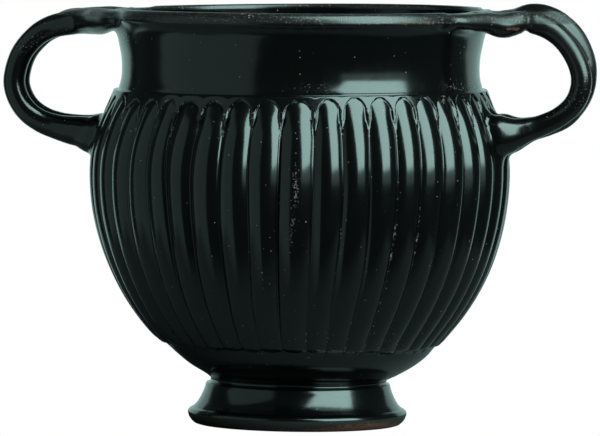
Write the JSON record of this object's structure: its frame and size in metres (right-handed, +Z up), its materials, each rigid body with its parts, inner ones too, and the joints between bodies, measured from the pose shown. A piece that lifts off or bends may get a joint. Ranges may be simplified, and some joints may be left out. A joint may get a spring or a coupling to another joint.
{
  "type": "skyphos",
  "caption": "Deep ribbed drinking cup with a tall neck, turned-out lip, moulded ring foot and upright ring handles. It holds drink and stands on its foot.",
  "frame": {"origin": "centre of the resting ring under the foot, on the wheel axis", "axes": "+Z up along the wheel axis, handles along X, front towards -Y"},
  "size_m": [0.1742, 0.1215, 0.1207],
  "materials": {
    "black_gloss": "black-gloss slip on red clay, worn and chipped along the edges"
  },
  "bodies": {
    "root": {"skyphos": "black_gloss"}
  },
  "joints": []
}
